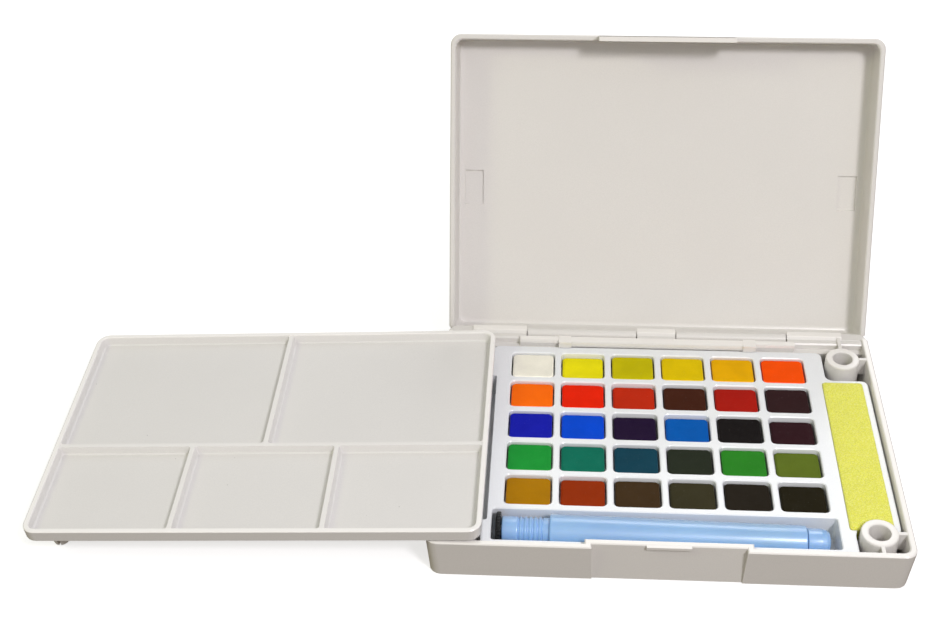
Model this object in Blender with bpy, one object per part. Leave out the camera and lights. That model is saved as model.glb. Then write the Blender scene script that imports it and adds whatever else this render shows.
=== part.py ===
"""Pocket watercolour pan set, opened up for painting.

A shallow plastic case with a hinged lid holds a moulded insert tray with thirty dry
paint cakes, a dabbing sponge and a short water brush.  A mixing palette is plugged into
the two socket posts on the left and hangs out over that side of the case.

Frame: the origin is the centre of the case's flat underside.  +X runs to the right
along the hinge, +Y runs to the rear, towards the hinge, and +Z is up.
"""

import math

import bmesh
import bpy
from mathutils import Matrix, Vector

MM = 0.001
GAP = 0.3 * MM

# Case, lid and hinge
CASE_W = 158.0 * MM
CASE_D = 114.4 * MM
RIM_Z = 16.0 * MM
WALL = 2.2 * MM
FLOOR = 1.6 * MM
DRAFT = 1.0 * MM
CORNER_R = 4.0 * MM
LATCH_HALF = 25.0 * MM
LATCH_DEPTH = 2.0 * MM
LATCH_RUNOUT = 0.5 * MM
CATCH_HALF = 7.3 * MM
CATCH_OUT = 1.0 * MM
LID_H = 12.5 * MM
LID_ROOF = 1.8 * MM
LID_WALL = 2.0 * MM
LID_OPEN_DEG = 114.5
HINGE_Y = 55.0 * MM
HINGE_DROP = 2.2 * MM
HINGE_Z = RIM_Z - HINGE_DROP
KNUCKLE_R = 2.2 * MM
STUB_R = 0.9 * MM
STUB_HOLE_R = 1.2 * MM
STUB_LEN = 2.4 * MM
BLOCK_INNER = 7.2 * MM
BLOCK_OUTER = 49.1 * MM
KNUCKLE_GAP = 0.4 * MM
BLOCK_FRONT_Y = 50.8 * MM
CREST_Y = 53.3 * MM
RAIL_FRONT_Y = 48.5 * MM
RAIL_HALF = 51.4 * MM
CLIP_X = (32.2 * MM, 36.8 * MM)
HINGE_WELL_Z = 9.0 * MM

# Socket posts that take the palette's pegs
SOCKET_X = 68.2 * MM
SOCKET_YS = (41.8 * MM, -46.4 * MM)
SOCKET_R = 6.2 * MM
SOCKET_BORE_R = 3.5 * MM
SOCKET_FLOOR_Z = 4.5 * MM
RIB_T = 1.2 * MM
RIB_Z = 9.0 * MM

# Insert tray and what it holds
TRAY_Z = 13.3 * MM
TRAY_T = 1.2 * MM
TRAY_BASE_Z = FLOOR + GAP
TRAY_REAR_Y = 48.1 * MM
TRAY_SIDE_X = 76.3 * MM
TUB_SIDE_X = 75.7 * MM
NOTCH_X = 61.3 * MM
NOTCH_REAR_Y = 32.4 * MM
NOTCH_FRONT_Y = -44.2 * MM
COLUMNS = 6
ROWS = 5
PITCH_X = 18.45 * MM
PITCH_Y = 16.42 * MM
FIRST_ROW_Y = 37.2 * MM
WELL_W = 16.1 * MM
WELL_D = 13.9 * MM
WELL_R = 1.7 * MM
WELL_FLOOR_Z = 7.0 * MM
CAKE_W = 15.5 * MM
CAKE_D = 13.2 * MM
CAKE_R = 1.6 * MM
SPONGE_X = (59.6 * MM, 73.8 * MM)
SPONGE_Y = (-43.0 * MM, 30.3 * MM)
SPONGE_FLOOR_Z = 5.0 * MM
SPONGE_TOP_Z = 14.1 * MM
SPONGE_GAP = 0.12 * MM
TROUGH_X = (-57.8 * MM, 56.0 * MM)
TROUGH_Y = (-51.9 * MM, -37.9 * MM)

# Water brush, lying a little askew in the trough
BRUSH_Y = -45.2 * MM
BRUSH_Z = 9.8 * MM
BRUSH_YAW_DEG = -0.6
BRUSH_SIDES = 24
COLLAR_R = 6.15 * MM

# Mixing palette, plugged in at the left and sagging until its far pegs near the table
PALETTE_RIGHT_X = -60.3 * MM
PALETTE_MID_Y = -5.0 * MM
PALETTE_W = 152.4 * MM
PALETTE_D = 103.8 * MM
PALETTE_T = 4.6 * MM
PALETTE_R = 4.5 * MM
PALETTE_RIM = 1.8 * MM
PALETTE_FLOOR = 1.3 * MM
PALETTE_SAG_DEG = 2.65
PALETTE_CROSS_Y = -9.9 * MM
PALETTE_REAR_SPLIT = 77.5 * MM
PALETTE_FRONT_SPLITS = (52.1 * MM, 102.8 * MM)
DIVIDER_T = 1.5 * MM
DIVIDER_DROP = 0.4 * MM
PEG_FROM_EDGE = 8.2 * MM
PEG_R = 3.0 * MM
PEG_LEN = 10.2 * MM
PEG_SLIT = 0.9 * MM

# Each cake's name, colour and how far its top lies below the tray's surface, in mm
CAKES = (
    (
        ("white", (0.745, 0.724, 0.624), 0.4),
        ("lemon_yellow", (0.738, 0.665, 0.010), 1.5),
        ("olive_yellow", (0.451, 0.392, 0.003), 0.5),
        ("mid_yellow", (0.723, 0.479, 0.002), 0.5),
        ("deep_yellow", (0.738, 0.371, 0.002), 0.5),
        ("orange", (0.888, 0.081, 0.002), 0.4),
    ),
    (
        ("light_orange", (1.000, 0.144, 0.006), 0.7),
        ("vermilion", (0.761, 0.018, 0.002), 0.7),
        ("brick_red", (0.479, 0.028, 0.012), 1.3),
        ("red_brown", (0.056, 0.013, 0.008), 1.0),
        ("crimson", (0.413, 0.014, 0.009), 0.9),
        ("plum", (0.033, 0.014, 0.016), 0.5),
    ),
    (
        ("ultramarine", (0.017, 0.014, 0.332), 0.6),
        ("cobalt_blue", (0.005, 0.065, 0.604), 0.8),
        ("violet", (0.023, 0.010, 0.034), 1.3),
        ("cerulean_blue", (0.006, 0.122, 0.456), 1.3),
        ("blue_black", (0.012, 0.010, 0.012), 0.6),
        ("purple_brown", (0.037, 0.010, 0.013), 1.5),
    ),
    (
        ("light_green", (0.016, 0.323, 0.040), 0.5),
        ("viridian", (0.007, 0.162, 0.095), 0.8),
        ("blue_green", (0.009, 0.058, 0.080), 0.8),
        ("dark_green", (0.016, 0.025, 0.021), 0.8),
        ("mid_green", (0.018, 0.250, 0.021), 0.6),
        ("sap_green", (0.098, 0.178, 0.021), 1.2),
    ),
    (
        ("ochre", (0.445, 0.202, 0.002), 0.8),
        ("burnt_sienna", (0.314, 0.030, 0.005), 1.2),
        ("umber", (0.061, 0.030, 0.018), 1.0),
        ("sepia", (0.036, 0.028, 0.018), 1.0),
        ("grey_black", (0.019, 0.015, 0.014), 0.8),
        ("ink_black", (0.016, 0.014, 0.006), 1.2),
    ),
)


# ---------------------------------------------------------------- building tools


def clear_scene():
    for item in list(bpy.data.objects):
        bpy.data.objects.remove(item, do_unlink=True)


def make_material(name, color, roughness, alpha=1.0):
    mat = bpy.data.materials.new(name)
    mat.use_nodes = True
    shader = mat.node_tree.nodes["Principled BSDF"]
    shader.inputs["Base Color"].default_value = (*color, 1.0)
    shader.inputs["Roughness"].default_value = roughness
    shader.inputs["Metallic"].default_value = 0.0
    shader.inputs["Alpha"].default_value = alpha
    mat.diffuse_color = (*color, alpha)
    return mat


def add_object(name, bm, material=None):
    """Turn a bmesh into an object in the scene, with its faces pointing out."""
    bmesh.ops.recalc_face_normals(bm, faces=bm.faces[:])
    mesh = bpy.data.meshes.new(name)
    bm.to_mesh(mesh)
    bm.free()
    item = bpy.data.objects.new(name, mesh)
    bpy.context.scene.collection.objects.link(item)
    if material:
        mesh.materials.append(material)
    return item


def smooth(item, degrees=35.0):
    item.data.shade_smooth()
    item.data.set_sharp_from_angle(angle=math.radians(degrees))


def filleted(corners, steps):
    """Outline through (x, y, radius) corners, each rounded to its radius by an arc."""
    outline = []
    count = len(corners)
    for i, (x, y, radius) in enumerate(corners):
        here = Vector((x, y))
        if radius <= 0:
            outline.append((x, y))
            continue
        before = (Vector(corners[i - 1][:2]) - here).normalized()
        after = (Vector(corners[(i + 1) % count][:2]) - here).normalized()
        half = before.angle(after) / 2
        centre = here + (before + after).normalized() * (radius / math.sin(half))
        start = here + before * (radius / math.tan(half)) - centre
        end = here + after * (radius / math.tan(half)) - centre
        first = math.atan2(start.y, start.x)
        turn = math.atan2(start.cross(end), start.dot(end))
        for k in range(steps + 1):
            angle = first + turn * k / steps
            outline.append((centre.x + radius * math.cos(angle), centre.y + radius * math.sin(angle)))
    return outline


def rounded_rect(x0, x1, y0, y1, radius, steps=4):
    corners = ((x0, y0, radius), (x1, y0, radius), (x1, y1, radius), (x0, y1, radius))
    return filleted(corners, steps)


def at_height(outline, z):
    return [(x, y, z) for x, y in outline]


def loft(rings):
    """Closed solid through rings of equal length, capped at both ends."""
    bm = bmesh.new()
    loops = [[bm.verts.new(p) for p in ring] for ring in rings]
    count = len(rings[0])
    for low, high in zip(loops, loops[1:]):
        for i in range(count):
            j = (i + 1) % count
            bm.faces.new((low[i], low[j], high[j], high[i]))
    bm.faces.new(list(reversed(loops[0])))
    bm.faces.new(loops[-1])
    return bm


def box(lo, hi):
    outline = ((lo[0], lo[1]), (hi[0], lo[1]), (hi[0], hi[1]), (lo[0], hi[1]))
    return loft((at_height(outline, lo[2]), at_height(outline, hi[2])))


def turned(profile, sides, matrix=Matrix(), closed=False):
    """Solid turned about +Z from (radius, height) points; a closed profile makes a tube."""
    bm = bmesh.new()
    loops = []
    for radius, height in profile:
        angles = [2 * math.pi * (i + 0.5) / sides for i in range(sides)]
        loops.append([bm.verts.new((radius * math.cos(a), radius * math.sin(a), height)) for a in angles])
    pairs = list(zip(loops, loops[1:]))
    if closed:
        pairs.append((loops[-1], loops[0]))
    for low, high in pairs:
        for i in range(sides):
            j = (i + 1) % sides
            bm.faces.new((low[i], low[j], high[j], high[i]))
    if not closed:
        bm.faces.new(list(reversed(loops[0])))
        bm.faces.new(loops[-1])
    bm.transform(matrix)
    return bm


def along_x(x, y, z):
    """Matrix that stands a turned solid's axis along +X, from the point x, y, z."""
    return Matrix.Translation((x, y, z)) @ Matrix.Rotation(math.radians(90), 4, "Y")


def combine(target, tools, operation):
    """Add or cut each tool, a bmesh, into the target object with an exact Boolean."""
    for bm in tools:
        tool = add_object("tool", bm)
        modifier = target.modifiers.new("combine", "BOOLEAN")
        modifier.operation = operation
        modifier.solver = "EXACT"
        modifier.object = tool
        bpy.context.view_layer.update()
        evaluated = target.evaluated_get(bpy.context.evaluated_depsgraph_get())
        result = bpy.data.meshes.new_from_object(evaluated)
        target.modifiers.clear()
        target.data = result
        bpy.data.objects.remove(tool, do_unlink=True)


def tidy_mesh(item):
    """Weld the slivers that Booleans leave along coincident edges."""
    bm = bmesh.new()
    bm.from_mesh(item.data)
    bmesh.ops.remove_doubles(bm, verts=bm.verts[:], dist=0.01 * MM)
    bmesh.ops.dissolve_degenerate(bm, edges=bm.edges[:], dist=0.01 * MM)
    bmesh.ops.triangulate(bm, faces=bm.faces[:])
    bm.to_mesh(item.data)
    bm.free()


def span(sign, low, high):
    """An interval of X on the side given by sign, low end first."""
    return (low, high) if sign > 0 else (-high, -low)


# ---------------------------------------------------------------- case


def case_outline(inset, latch_inset, radius):
    """Plan outline of the case or lid, with the latch recess in its front edge."""
    x = CASE_W / 2 - inset
    y = CASE_D / 2 - inset
    half = LATCH_HALF + latch_inset
    recess = -CASE_D / 2 + LATCH_DEPTH + latch_inset
    return filleted(
        (
            (-x, -y, radius),
            (-half, -y, 0),
            (-half, recess, 0),
            (half, recess, 0),
            (half, -y, 0),
            (x, -y, radius),
            (x, y, radius),
            (-x, y, radius),
        ),
        4,
    )


def socket_post(sign, y):
    crown = 0.8 * MM
    profile = (
        (SOCKET_R + 0.3 * MM, FLOOR / 2),
        (SOCKET_R, RIM_Z - crown),
        (SOCKET_R - 0.1 * crown, RIM_Z - 0.55 * crown),
        (SOCKET_R - 0.35 * crown, RIM_Z - 0.2 * crown),
        (SOCKET_R - 0.9 * crown, RIM_Z),
    )
    return turned(profile, 24, Matrix.Translation((sign * SOCKET_X, y, 0)))


def socket_bore(sign, y):
    lip = 0.7 * MM
    profile = (
        (SOCKET_BORE_R, SOCKET_FLOOR_Z),
        (SOCKET_BORE_R, RIM_Z - lip),
        (SOCKET_BORE_R + 0.25 * lip, RIM_Z - 0.3 * lip),
        (SOCKET_BORE_R + lip, RIM_Z),
        (SOCKET_BORE_R + lip, RIM_Z + lip),
    )
    return turned(profile, 20, Matrix.Translation((sign * SOCKET_X, y, 0)))


def socket_ribs(sign, y):
    """The two thin ribs that tie a post to the side wall and to the nearer long wall."""
    reach = CASE_D / 2 - WALL / 2
    inner = SOCKET_R - 1.0 * MM
    side = span(sign, SOCKET_X + inner, CASE_W / 2 - WALL / 2)
    ends = (y + inner, reach) if y > 0 else (-reach, y - inner)
    x = sign * SOCKET_X
    top = RIM_Z - 0.2 * MM
    return [
        box((side[0], y - RIB_T / 2, RIB_Z), (side[1], y + RIB_T / 2, top)),
        box((x - RIB_T / 2, ends[0], RIB_Z), (x + RIB_T / 2, ends[1], top)),
    ]


def hinge_bank():
    """The raised shelf along the rear wall that the hinge blocks and trough are cut from."""
    x = CASE_W / 2 - WALL / 2
    y = CASE_D / 2 - WALL / 2
    shelf_z = RIM_Z - 0.9 * MM
    section = (
        (TRAY_REAR_Y + 0.5 * MM, HINGE_WELL_Z - 1.5 * MM),
        (TRAY_REAR_Y + 0.5 * MM, TRAY_Z - 0.9 * MM),
        (BLOCK_FRONT_Y, TRAY_Z - 0.7 * MM),
        (BLOCK_FRONT_Y, shelf_z - 0.5 * MM),
        (BLOCK_FRONT_Y + 0.5 * MM, shelf_z),
        (CREST_Y, shelf_z),
        (CREST_Y + 1.1 * MM, RIM_Z),
        (y, RIM_Z),
        (y, HINGE_WELL_Z - 1.5 * MM),
    )
    return loft([[(side, py, pz) for py, pz in section] for side in (-x, x)])


def hinge_rail():
    """The rounded rail in front of the hinge, thicker between its two clips."""
    base_z = HINGE_WELL_Z - 1.0 * MM
    rear = BLOCK_FRONT_Y + 0.3 * MM
    foot = RAIL_FRONT_Y + 0.4 * MM
    outer = (RAIL_FRONT_Y, foot - 0.1 * MM, RIM_Z - 1.9 * MM)
    middle = (RAIL_FRONT_Y - 1.0 * MM, RAIL_FRONT_Y - 0.6 * MM, TRAY_Z + 0.15 * MM)
    bars = (
        (-RAIL_HALF, -CLIP_X[1], outer),
        (-CLIP_X[1], CLIP_X[1], middle),
        (CLIP_X[1], RAIL_HALF, outer),
    )
    tools = []
    for x0, x1, (front, cove, low) in bars:
        section = (
            (foot, base_z),
            (foot, low),
            (cove, low),
            (front, RIM_Z - 1.6 * MM),
            (front, RIM_Z - 0.9 * MM),
            (front + 0.3 * MM, RIM_Z - 0.3 * MM),
            (front + 1.0 * MM, RIM_Z),
            (rear - 0.3 * MM, RIM_Z),
            (rear, RIM_Z - 0.3 * MM),
            (rear, base_z),
        )
        tools.append(loft([[(x, py, pz) for py, pz in section] for x in (x0, x1)]))
    for sign in (1, -1):
        x0, x1 = span(sign, *CLIP_X)
        tools.append(box((x0, 47.0 * MM, TRAY_Z + GAP), (x1, rear, RIM_Z + 0.2 * MM)))
    return tools


def make_case(material):
    outer_r = CORNER_R
    inner_r = CORNER_R - WALL + 0.8 * MM
    soft = 0.4 * MM
    slope = 0.5 * MM
    rings = (
        at_height(case_outline(DRAFT + soft, soft - LATCH_RUNOUT, outer_r - soft), 0),
        at_height(case_outline(DRAFT, -LATCH_RUNOUT, outer_r), soft),
        at_height(case_outline(0, 0, outer_r), RIM_Z - soft),
        at_height(case_outline(soft, soft, outer_r), RIM_Z),
        at_height(case_outline(WALL - soft, WALL - soft, inner_r), RIM_Z),
        at_height(case_outline(WALL, WALL, inner_r), RIM_Z - soft),
        at_height(case_outline(WALL + slope, WALL, inner_r), FLOOR),
    )
    case = add_object("base_case", loft(rings), material)
    combine(case, [hinge_bank()], "UNION")
    for sign in (1, -1):
        x0, x1 = span(sign, BLOCK_INNER, BLOCK_OUTER)
        trough = box((x0, HINGE_Y - 3.6 * MM, HINGE_WELL_Z), (x1, CASE_D / 2 + WALL, RIM_Z + WALL))
        corner = span(sign, 69.5 * MM, CASE_W / 2 + WALL)
        low = box((corner[0], CREST_Y, RIM_Z - 0.8 * MM), (corner[1], CASE_D / 2 + WALL, RIM_Z + WALL))
        combine(case, [trough, low], "DIFFERENCE")
    holes = []
    for end in (-BLOCK_OUTER, -BLOCK_INNER, BLOCK_INNER, BLOCK_OUTER):
        inward = 1 if end in (-BLOCK_INNER, BLOCK_OUTER) else -1
        start = end - inward * 0.5 * MM
        length = inward * (STUB_LEN + KNUCKLE_GAP + 0.8 * MM)
        holes.append(turned(((STUB_HOLE_R, 0), (STUB_HOLE_R, length)), 16, along_x(start, HINGE_Y, HINGE_Z)))
    combine(case, holes, "DIFFERENCE")
    combine(case, hinge_rail(), "UNION")
    for y in SOCKET_YS:
        for sign in (1, -1):
            combine(case, [socket_post(sign, y)] + socket_ribs(sign, y), "UNION")
    for y in SOCKET_YS:
        combine(case, [socket_bore(sign, y) for sign in (1, -1)], "DIFFERENCE")
    panel_y = -CASE_D / 2 + LATCH_DEPTH
    catch = box(
        (-CATCH_HALF, panel_y - CATCH_OUT, RIM_Z - 1.2 * MM),
        (CATCH_HALF, panel_y + WALL / 2, RIM_Z - 0.1 * MM),
    )
    combine(case, [catch], "UNION")
    tidy_mesh(case)
    smooth(case)
    return case


# ---------------------------------------------------------------- lid


def lid_rings():
    """Lid shell, closed, with its open side down and its origin on the hinge axis."""
    soft = 0.4 * MM
    rim = HINGE_DROP
    roof = rim + LID_H
    outer = CORNER_R
    inner = CORNER_R - LID_WALL + 0.8 * MM
    fillet = 2.4 * MM
    under = roof - LID_ROOF

    def ring(inset, radius, height):
        outline = rounded_rect(
            -CASE_W / 2 + inset,
            CASE_W / 2 - inset,
            -CASE_D / 2 + inset,
            CASE_D / 2 - inset,
            radius,
            5,
        )
        return [(x, y - HINGE_Y, height) for x, y in outline]

    return (
        ring(LID_WALL + 0.4 * MM + fillet, inner, under),
        ring(LID_WALL + 0.4 * MM + 0.3 * fillet, inner, under - 0.3 * fillet),
        ring(LID_WALL + 0.4 * MM, inner, under - fillet),
        ring(LID_WALL, inner, rim + soft),
        ring(LID_WALL - soft, inner, rim),
        ring(soft, outer, rim),
        ring(0, outer, rim + soft),
        ring(DRAFT, outer, roof - 1.0 * MM),
        ring(DRAFT + 0.3 * MM, outer, roof - 0.3 * MM),
        ring(DRAFT + 1.0 * MM, outer - 0.6 * MM, roof),
    )


def lid_knuckles():
    """The two hinge knuckles, each with a web up to the rear wall and a stub at each end."""
    tools = []
    inner = BLOCK_INNER + KNUCKLE_GAP
    outer = BLOCK_OUTER - KNUCKLE_GAP
    web_top = HINGE_DROP + 3.0 * MM
    for sign in (1, -1):
        x0, x1 = span(sign, inner, outer)
        tools.append(box((x0, 0, 0), (x1, CASE_D / 2 - HINGE_Y - 0.02 * MM, web_top)))
        tools.append(turned(((KNUCKLE_R, 0), (KNUCKLE_R, x1 - x0)), 24, along_x(x0, 0, 0)))
        stub = ((STUB_R, 0), (STUB_R, x1 - x0 + 2 * STUB_LEN))
        tools.append(turned(stub, 12, along_x(x0 - STUB_LEN, 0, 0)))
    return tools


def make_lid(material):
    lid = add_object("lid", loft(lid_rings()), material)
    front = -CASE_D / 2 - HINGE_Y
    relief_z = HINGE_DROP + 1.7 * MM
    relief = box(
        (-CASE_W / 2 - WALL, -1.4 * MM, -WALL),
        (CASE_W / 2 + WALL, CASE_D / 2 - HINGE_Y + WALL, relief_z),
    )
    combine(lid, [relief], "DIFFERENCE")
    combine(lid, lid_knuckles(), "UNION")
    tongue_half = LATCH_HALF - GAP
    tongue_t = LATCH_DEPTH - GAP
    tongue_drop = 6.5 * MM
    tongue = box(
        (-tongue_half, front + 0.05 * MM, HINGE_DROP - tongue_drop),
        (tongue_half, front + tongue_t, HINGE_DROP + 1.2 * MM),
    )
    combine(lid, [tongue], "UNION")
    pocket = box(
        (-CATCH_HALF - 2 * MM, front + tongue_t - CATCH_OUT - 0.1 * MM, HINGE_DROP - 2.2 * MM),
        (CATCH_HALF + 2 * MM, front + WALL, HINGE_DROP + 0.01 * MM),
    )
    combine(lid, [pocket], "DIFFERENCE")
    pads = []
    for sign in (1, -1):
        x0, x1 = span(sign, 66.9 * MM, 73.9 * MM)
        roof = HINGE_DROP + LID_H - LID_ROOF
        pads.append(box((x0, -60.6 * MM, roof - 1.0 * MM), (x1, -47.5 * MM, roof + 0.7 * MM)))
    combine(lid, pads, "DIFFERENCE")
    tidy_mesh(lid)
    smooth(lid)
    lid.location = (0, HINGE_Y, HINGE_Z)
    lid.rotation_euler = (math.radians(-LID_OPEN_DEG), 0, 0)
    return lid


# ---------------------------------------------------------------- insert tray


def tray_outline(inset):
    """Plan outline of the tray: notched at its corners for the posts and at the latch."""
    nx = NOTCH_X - inset
    side = TRAY_SIDE_X - inset
    rear = TRAY_REAR_Y - inset
    front = -CASE_D / 2 + WALL + GAP + inset
    latch_front = front + LATCH_DEPTH
    latch = LATCH_HALF + WALL + 0.5 * MM + inset
    rear_notch = NOTCH_REAR_Y - inset
    front_notch = NOTCH_FRONT_Y + inset
    inside_r = 2.6 * MM
    outside_r = 2.4 * MM
    right = [
        (latch, latch_front, 0),
        (latch, front, 0),
        (nx, front, 0.8 * MM),
        (nx, front_notch, inside_r + inset),
        (side, front_notch, outside_r - inset),
        (side, rear_notch, outside_r - inset),
        (nx, rear_notch, inside_r + inset),
        (nx, rear, outside_r - inset),
    ]
    left = [(-x, y, radius) for x, y, radius in reversed(right)]
    return filleted(right + left, 4)


def well_centres():
    for row in range(ROWS):
        for column in range(COLUMNS):
            x = (column - (COLUMNS - 1) / 2) * PITCH_X
            yield row, column, x, FIRST_ROW_Y - row * PITCH_Y


def pocket(x0, x1, y0, y1, radius, floor_z, lip=0.35 * MM, steps=3):
    """Cutter for a pocket in the tray, flared at its mouth."""
    mouth = rounded_rect(x0 - lip, x1 + lip, y0 - lip, y1 + lip, radius + lip, steps)
    walls = rounded_rect(x0, x1, y0, y1, radius, steps)
    return loft(
        (
            at_height(walls, floor_z),
            at_height(walls, TRAY_Z - lip),
            at_height(mouth, TRAY_Z),
            at_height(mouth, TRAY_Z + 1.0 * MM),
        )
    )


def make_tray(material):
    edge = 0.7 * MM
    rings = (
        at_height(tray_outline(0), TRAY_Z - TRAY_T - edge),
        at_height(tray_outline(0), TRAY_Z - edge),
        at_height(tray_outline(0.3 * edge), TRAY_Z - 0.3 * edge),
        at_height(tray_outline(edge), TRAY_Z),
    )
    tray = add_object("insert_tray", loft(rings), material)
    under = TRAY_Z - TRAY_T
    skin = 1.0 * MM
    grid_x = COLUMNS * PITCH_X / 2 + 0.3 * MM
    grid_rear = FIRST_ROW_Y + PITCH_Y / 2
    tubs = [
        box((-grid_x, TROUGH_Y[1] + 1.5 * MM, WELL_FLOOR_Z - skin), (grid_x, grid_rear, under)),
        box(
            (TROUGH_X[0] - 2 * skin, TROUGH_Y[0] - 0.5 * MM, TRAY_BASE_Z),
            (TROUGH_X[1] + skin, TROUGH_Y[1] + 1.6 * MM, under),
        ),
    ]
    for sign in (1, -1):
        x0, x1 = span(sign, SPONGE_X[0] - skin - 0.3 * MM, TUB_SIDE_X)
        tubs.append(
            box((x0, NOTCH_FRONT_Y + 0.1 * MM, TRAY_BASE_Z), (x1, NOTCH_REAR_Y - 0.1 * MM, under))
        )
    combine(tray, tubs, "UNION")
    for sign in (1, -1):
        x0, x1 = span(sign, SPONGE_X[0] - SPONGE_GAP, SPONGE_X[1] + SPONGE_GAP)
        y0, y1 = SPONGE_Y[0] - SPONGE_GAP, SPONGE_Y[1] + SPONGE_GAP
        slot = pocket(x0, x1, y0, y1, 0.6 * MM, SPONGE_FLOOR_Z - GAP, 0.15 * MM)
        post = turned(
            ((SOCKET_R + 1.0 * MM, 0), (SOCKET_R + 1.0 * MM, RIM_Z)),
            24,
            Matrix.Translation((sign * SOCKET_X, SOCKET_YS[1], 0)),
        )
        combine(tray, [slot, post], "DIFFERENCE")
    trough_floor = BRUSH_Z - COLLAR_R - GAP
    trough = pocket(*TROUGH_X, *TROUGH_Y, 1.0 * MM, trough_floor, 0.3 * MM, 4)
    combine(tray, [trough], "DIFFERENCE")
    cutters = bmesh.new()
    for _, _, x, y in well_centres():
        cutter = pocket(
            x - WELL_W / 2, x + WELL_W / 2, y - WELL_D / 2, y + WELL_D / 2, WELL_R, WELL_FLOOR_Z
        )
        mesh = bpy.data.meshes.new("well")
        cutter.to_mesh(mesh)
        cutter.free()
        cutters.from_mesh(mesh)
        bpy.data.meshes.remove(mesh)
    combine(tray, [cutters], "DIFFERENCE")
    tidy_mesh(tray)
    smooth(tray)
    return tray


def make_cakes():
    """One pressed cake of paint in each well, with soft top edges."""
    for row, column, x, y in well_centres():
        name, color, drop = CAKES[row][column]
        top = TRAY_Z - drop * MM
        round_off = 0.5 * MM

        def ring(inset, z, x=x, y=y):
            outline = rounded_rect(
                x - CAKE_W / 2 + inset,
                x + CAKE_W / 2 - inset,
                y - CAKE_D / 2 + inset,
                y + CAKE_D / 2 - inset,
                CAKE_R - 0.5 * inset,
                3,
            )
            return at_height(outline, z)

        rings = (
            ring(0.2 * MM, WELL_FLOOR_Z + GAP),
            ring(0, top - round_off),
            ring(0.35 * round_off, top - 0.25 * round_off),
            ring(1.3 * round_off, top),
        )
        title = f"cake_r{row + 1}_c{column + 1}_{name}"
        cake = add_object(title, loft(rings), make_material(title, color, 0.55))
        smooth(cake)


def make_sponge(material):
    """The flat sponge pad, relieved where it presses round the front socket post."""

    def ring(inset, z):
        (x0, x1), (y0, y1) = SPONGE_X, SPONGE_Y
        return at_height(rounded_rect(x0 + inset, x1 - inset, y0 + inset, y1 - inset, 0.5 * MM, 2), z)

    rings = (
        ring(0, SPONGE_FLOOR_Z),
        ring(0, SPONGE_TOP_Z - 0.5 * MM),
        ring(0.4 * MM, SPONGE_TOP_Z),
    )
    pad = add_object("sponge", loft(rings), material)
    radius = SOCKET_R + 0.3 * MM + GAP
    post = turned(((radius, 0), (radius, RIM_Z)), 24, Matrix.Translation((SOCKET_X, SOCKET_YS[1], 0)))
    combine(pad, [post], "DIFFERENCE")
    tidy_mesh(pad)
    smooth(pad)


# ---------------------------------------------------------------- water brush


def barrel_profile():
    """Hollow barrel: its open left mouth, the outside, the right mouth and the bore."""
    return (
        (5.05, -38.6),
        (5.70, -38.6),
        (6.00, -38.2),
        (5.95, -20.0),
        (5.50, 20.0),
        (5.30, 44.8),
        (5.00, 45.2),
        (4.05, 45.2),
        (4.05, 40.5),
        (4.85, 39.5),
        (4.85, -26.0),
        (5.05, -26.4),
    )


def plug_profile():
    """Round-ended hollow plug that closes the right end of the barrel."""
    return (
        (0.60, 53.2),
        (2.00, 53.1),
        (3.40, 52.6),
        (4.10, 51.6),
        (4.45, 50.0),
        (4.45, 45.5),
        (3.75, 45.5),
        (3.75, 38.0),
        (2.80, 38.0),
        (2.80, 49.4),
        (2.20, 51.0),
        (0.60, 51.8),
    )


def grip_profile():
    """Ribbed grip, with its thinner neck reaching back into the barrel."""
    points = [(2.10, -54.4), (4.40, -54.4), (4.75, -54.1), (4.75, -49.3)]
    for k in range(5):
        start = -48.9 + 1.6 * k
        points += [(4.25, start), (4.25, start + 0.4), (4.85, start + 0.75), (4.85, start + 1.2)]
    points += [(4.85, -39.5), (4.70, -38.9), (4.60, -38.9), (4.60, -27.0), (2.10, -27.0)]
    return points


def collar_profile():
    """Black end collar, bored for the valve."""
    return (
        (2.10, -56.2),
        (4.80, -56.4),
        (5.60, -56.4),
        (COLLAR_R / MM, -55.9),
        (COLLAR_R / MM, -55.0),
        (6.00, -54.7),
        (2.10, -54.7),
    )


def ferrule_profile():
    """Tapered ferrule, stowed backwards inside the barrel with its stem in the grip's neck."""
    return (
        (0.90, -39.6),
        (1.80, -39.6),
        (1.80, -26.7),
        (4.20, -26.7),
        (4.20, -25.6),
        (3.60, -24.2),
        (1.70, -14.0),
        (0.90, -14.0),
    )


def valve_profile():
    return ((0.50, -56.2), (1.80, -56.2), (1.80, -40.0), (0.50, -40.0))


def bristle_profile():
    """Pointed tuft, its root held in the ferrule."""
    return ((0.60, -20.0), (0.60, -13.6), (1.50, -13.4), (1.60, -9.0), (1.10, -2.0), (0.50, 2.4), (0.15, 3.8))


def make_brush(plastic, black, ferrule, hair, felt):
    axis = bpy.data.objects.new("brush_axis", None)
    bpy.context.scene.collection.objects.link(axis)
    axis.location = (0, BRUSH_Y, BRUSH_Z)
    axis.rotation_euler = (0, 0, math.radians(BRUSH_YAW_DEG))
    lay = Matrix.Rotation(math.radians(90), 4, "Y")
    pieces = (
        ("brush_barrel", barrel_profile(), True, plastic),
        ("brush_end_plug", plug_profile(), False, plastic),
        ("brush_grip", grip_profile(), True, plastic),
        ("brush_collar", collar_profile(), True, black),
        ("brush_ferrule", ferrule_profile(), True, ferrule),
        ("brush_bristles", bristle_profile(), False, hair),
        ("brush_valve", valve_profile(), True, felt),
    )
    for title, profile, closed, material in pieces:
        scaled = [(radius * MM, height * MM) for radius, height in profile]
        item = add_object(title, turned(scaled, BRUSH_SIDES, lay, closed), material)
        smooth(item)
        item.parent = axis


# ---------------------------------------------------------------- palette


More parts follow.
